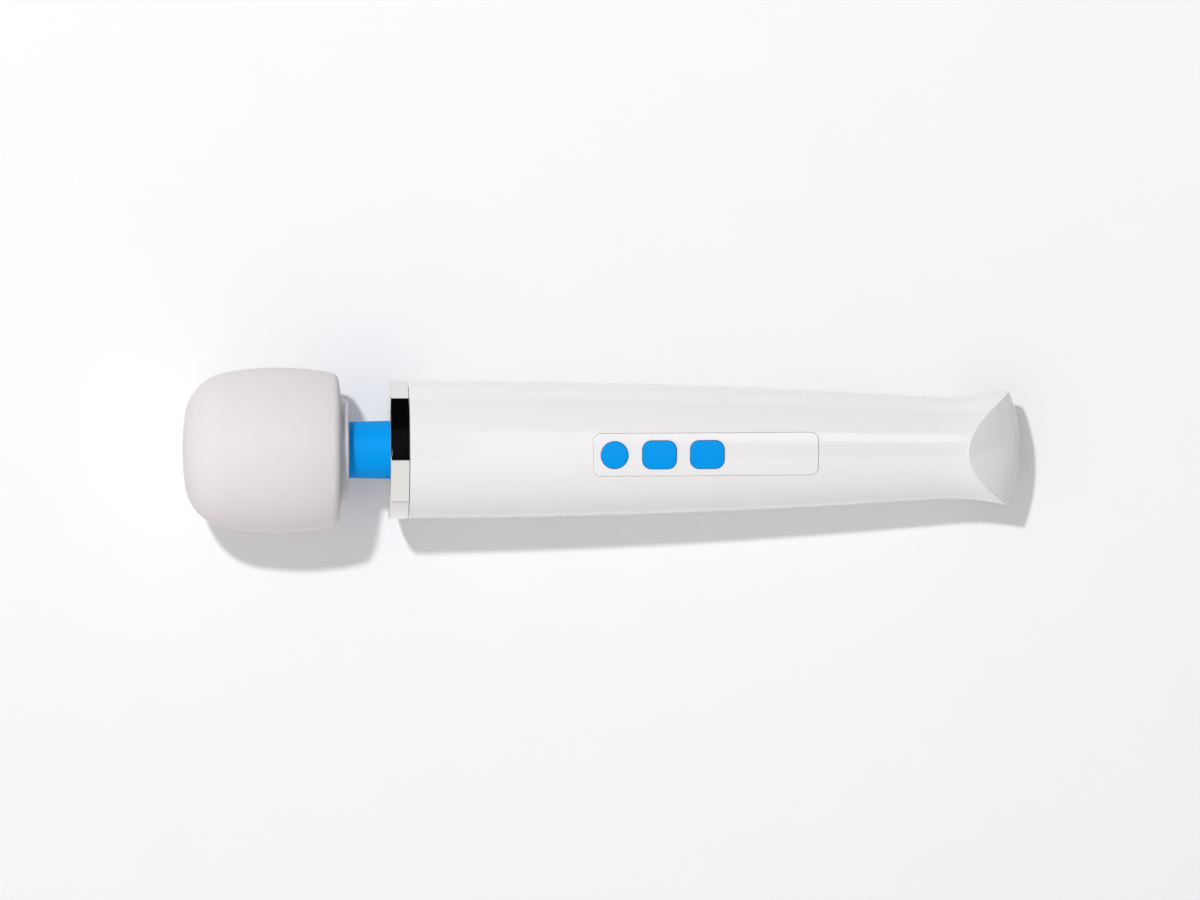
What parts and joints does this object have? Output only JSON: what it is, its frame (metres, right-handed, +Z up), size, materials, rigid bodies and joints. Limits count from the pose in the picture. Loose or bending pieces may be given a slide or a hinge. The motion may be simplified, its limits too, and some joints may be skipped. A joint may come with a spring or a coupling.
{
  "type": "handheld wand massager",
  "caption": "Cordless wand massager: a soft round head on a flexible neck, and a tapered handle with a key panel and a charging socket in its tail.",
  "frame": {"origin": "bottom centre of the bounding box, on the surface that the head rests on", "axes": "+X along the wand from the head to the tail, +Y across it, +Z up, the way the keys face"},
  "size_m": [0.2525, 0.0496, 0.0496],
  "materials": {
    "soft_cover": "matte",
    "blue_silicone": "satin",
    "white_shell": "gloss",
    "white_panel": "satin",
    "white_ring": "satin",
    "chromed": "mirror",
    "inner_plastic": "matte",
    "dark_plastic": "matte",
    "black_rubber": "matte",
    "zinc_steel": "satin",
    "dark_magnet": "matte",
    "iron_core": "satin",
    "copper": "satin",
    "bronze": "satin",
    "green_board": "satin",
    "nickel": "satin",
    "cell_wrap": "satin",
    "lamp_white": "matte",
    "wire_insulation": "satin"
  },
  "bodies": {
    "handle": {"front_shell": "white_shell", "rear_shell": "white_shell", "tail_cap": "white_shell", "collar_ring": "chromed", "control_panel": "white_panel", "neck_anchor": "inner_plastic", "anchor_screws": "zinc_steel", "case_screws": "zinc_steel", "inner_frame": "inner_plastic", "frame_screws": "zinc_steel", "control_board": "green_board", "board_screws": "zinc_steel", "board_chips": "dark_plastic", "indicator_lights": "lamp_white", "switch_bodies": "dark_plastic", "battery_cell": "nickel", "battery_wrap": "cell_wrap", "battery_tabs": "nickel", "battery_leads": "wire_insulation", "charge_socket": "dark_plastic", "socket_clip": "zinc_steel", "socket_seal": "black_rubber", "charge_leads": "wire_insulation", "motor_connector": "dark_plastic", "board_leads": "wire_insulation"},
    "neck": {"neck_sleeve": "blue_silicone", "neck_spring": "zinc_steel", "motor_leads": "wire_insulation"},
    "head": {"head_cover": "soft_cover", "head_cup": "inner_plastic", "head_base": "inner_plastic", "neck_ring": "white_ring", "head_screws": "zinc_steel", "ring_screws": "zinc_steel", "motor_can": "zinc_steel", "motor_end_bell": "dark_plastic", "motor_terminals": "copper", "motor_bushes": "bronze", "motor_magnets": "dark_magnet", "motor_boot": "black_rubber"},
    "rotor": {"motor_shaft": "zinc_steel", "armature_core": "iron_core", "armature_windings": "copper", "commutator": "copper", "eccentric_weight": "zinc_steel"},
    "power_button": {"power_key": "blue_silicone", "power_switch_plunger": "dark_plastic"},
    "faster_button": {"faster_key": "blue_silicone", "faster_switch_plunger": "dark_plastic"},
    "slower_button": {"slower_key": "blue_silicone", "slower_switch_plunger": "dark_plastic"}
  },
  "joints": [
    {"name": "neck_nod", "type": "hinge", "parent": "handle", "child": "neck", "pos_m": [-0.0677, 0, 0.0248], "axis": [0, 1, 0], "range_deg": [-12, 12], "stiffness_Nm_per_rad": 3, "deforming": ["neck_sleeve", "neck_spring", "motor_leads"]},
    {"name": "neck_sway", "type": "hinge", "parent": "neck", "child": "head", "pos_m": [-0.0737, 0, 0.0248], "axis": [0, 0, 1], "range_deg": [-12, 12], "stiffness_Nm_per_rad": 3, "deforming": ["neck_sleeve", "neck_spring", "motor_leads"]},
    {"name": "motor_spin", "type": "hinge", "parent": "head", "child": "rotor", "pos_m": [-0.1063, 0, 0.0248], "axis": [1, 0, 0], "continuous": true},
    {"name": "power_press", "type": "slide", "parent": "handle", "child": "power_button", "axis": [0, 0, -1], "range_m": [0, 0.0005], "stiffness_N_per_m": 1200},
    {"name": "faster_press", "type": "slide", "parent": "handle", "child": "faster_button", "axis": [0, 0, -1], "range_m": [0, 0.0005], "stiffness_N_per_m": 1200},
    {"name": "slower_press", "type": "slide", "parent": "handle", "child": "slower_button", "axis": [0, 0, -1], "range_m": [0, 0.0005], "stiffness_N_per_m": 1200}
  ]
}
